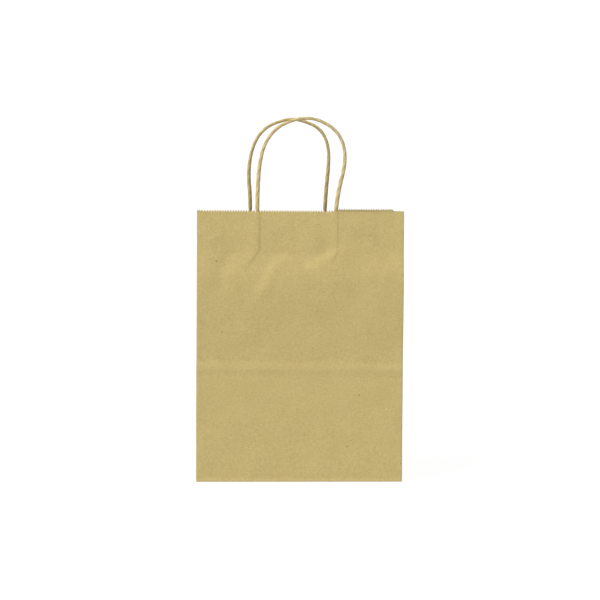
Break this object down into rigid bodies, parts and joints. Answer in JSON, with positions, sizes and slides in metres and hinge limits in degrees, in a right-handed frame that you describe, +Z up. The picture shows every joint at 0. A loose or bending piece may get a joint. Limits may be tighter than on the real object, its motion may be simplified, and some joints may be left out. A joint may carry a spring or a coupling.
{
  "type": "gift bag",
  "caption": "Plain kraft paper gift bag standing open on a square folded bottom, with side gussets, a pinked mouth and twisted paper cord handles.",
  "frame": {"origin": "middle of the underside of the square bottom, on the surface the bag stands on", "axes": "+Z up; -Y out of the front panel; +X across the bag, to the right seen from the front"},
  "size_m": [0.2032, 0.1206, 0.361],
  "materials": {
    "kraft_sheet": "matt natural brown kraft, uncoated",
    "kraft_strip": "matt natural brown kraft, uncoated",
    "kraft_cord": "matt kraft twisted into cord",
    "paste": "dried starch paste"
  },
  "bodies": {
    "base": {"base_back_flap": "kraft_sheet", "base_front_flap": "kraft_sheet", "base_front_corner_tucks": "kraft_sheet", "base_back_corner_tucks": "kraft_sheet", "base_left_tab": "kraft_sheet", "base_right_tab": "kraft_sheet", "base_glue": "paste", "left_gusset_base_triangle": "kraft_sheet", "right_gusset_base_triangle": "kraft_sheet", "left_gusset_front_fold": "kraft_sheet", "left_gusset_back_fold": "kraft_sheet", "right_gusset_front_fold": "kraft_sheet", "right_gusset_back_fold": "kraft_sheet"},
    "front_wall": {"front_panel": "kraft_sheet", "front_patch_glue": "paste", "front_patch_outer_strip": "kraft_strip", "front_patch_inner_strip": "kraft_strip", "front_handle_ends": "kraft_cord"},
    "back_wall": {"back_panel": "kraft_sheet", "side_seam_lap": "kraft_sheet", "side_seam_glue": "paste", "back_patch_glue": "paste", "back_patch_outer_strip": "kraft_strip", "back_patch_inner_strip": "kraft_strip", "back_handle_ends": "kraft_cord"},
    "front_handle": {"front_handle_loop": "kraft_cord"},
    "back_handle": {"back_handle_loop": "kraft_cord"}
  },
  "joints": [
    {"name": "front_wall_lean", "type": "hinge", "parent": "base", "child": "front_wall", "pos_m": [0, -0.06025, 0.00007], "axis": [-1, 0, 0], "range_deg": [0, 8], "deforming": ["left_gusset_front_fold", "right_gusset_front_fold"]},
    {"name": "back_wall_lean", "type": "hinge", "parent": "base", "child": "back_wall", "pos_m": [0, 0.06025, 0.00007], "axis": [1, 0, 0], "range_deg": [0, 8], "deforming": ["left_gusset_back_fold", "right_gusset_back_fold"]},
    {"name": "front_handle_swing", "type": "hinge", "parent": "front_wall", "child": "front_handle", "pos_m": [0, -0.05394, 0.26863], "axis": [1, 0, 0], "range_deg": [0, 90]},
    {"name": "back_handle_swing", "type": "hinge", "parent": "back_wall", "child": "back_handle", "pos_m": [0, 0.05394, 0.26863], "axis": [-1, 0, 0], "range_deg": [0, 90]}
  ],
  "couplings": [
    {"joint": "back_wall_lean", "follows": "front_wall_lean", "ratio": 1}
  ]
}
